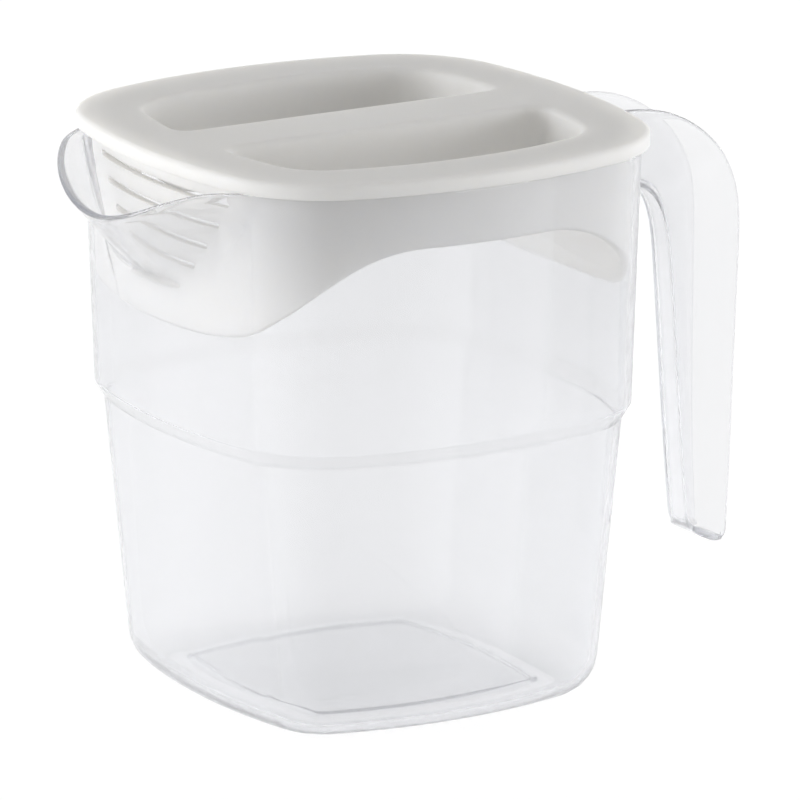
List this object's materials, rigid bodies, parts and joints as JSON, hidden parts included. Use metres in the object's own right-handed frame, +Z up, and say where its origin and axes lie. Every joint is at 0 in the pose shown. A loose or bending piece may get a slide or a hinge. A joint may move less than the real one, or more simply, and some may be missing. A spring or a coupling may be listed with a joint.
{
  "type": "plastic jug",
  "caption": "Clear plastic jug with a wide spout, a downward handle open along its outside, and a white lid with a grip bar and a slotted strainer skirt.",
  "frame": {"origin": "middle of the bounding box in plan, on the surface that the jug stands on", "axes": "+X from the spout to the handle, +Z up"},
  "size_m": [0.188, 0.135, 0.1487],
  "materials": {
    "clear_plastic": "clear, faintly milky, glossy",
    "white_plastic": "fine satin"
  },
  "bodies": {
    "root": {"jug": "clear_plastic", "lid": "white_plastic"}
  },
  "joints": []
}
